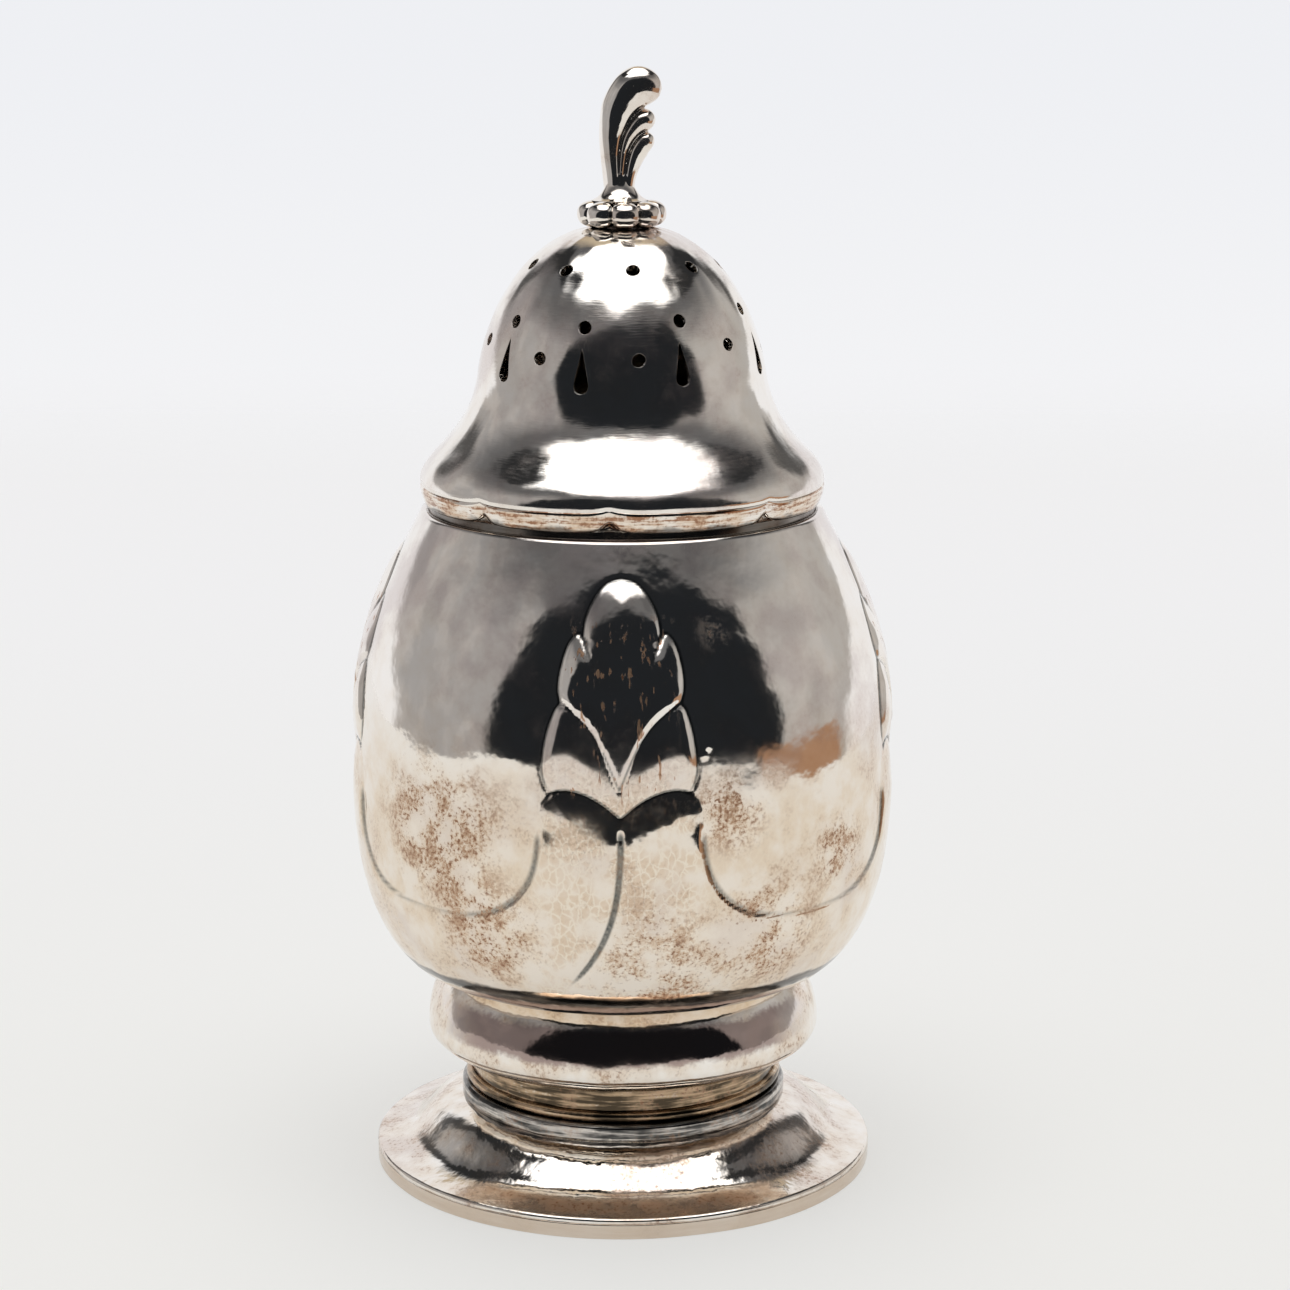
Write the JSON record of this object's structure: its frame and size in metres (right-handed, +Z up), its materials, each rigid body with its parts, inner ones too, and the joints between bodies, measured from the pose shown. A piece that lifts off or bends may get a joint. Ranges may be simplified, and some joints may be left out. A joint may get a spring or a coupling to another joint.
{
  "type": "sugar caster",
  "caption": "Egg-shaped silver sugar caster on a spreading foot with a knop, chased leaves and a pull-off pierced bell lid topped by a curling plume finial.",
  "frame": {"origin": "centre of the base band's underside, on the table", "axes": "+Z up along the axis of the vessel; -Y is the side with the front leaf; the plume curls towards +X"},
  "size_m": [0.0836, 0.0836, 0.1703],
  "materials": {
    "silver": "polished, hand-hammered, lightly tarnished",
    "inner_silver": "satin, with a warm tarnish"
  },
  "bodies": {
    "vessel": {"foot_band": "silver", "foot_dome": "silver", "stem_collar": "silver", "stem_wire": "silver", "stem_tube": "silver", "knop": "silver", "body_shell": "silver", "mouth_ring": "inner_silver"},
    "lid": {"lid_sleeve": "inner_silver", "lid_rim": "silver", "lid_dome": "silver", "finial_rosette": "silver", "finial_plume": "silver", "finial_peg": "inner_silver", "finial_washer": "inner_silver"}
  },
  "joints": [
    {"name": "lid_lift", "type": "slide", "parent": "vessel", "child": "lid", "axis": [0, 0, 1], "range_m": [0, 0.08]}
  ]
}
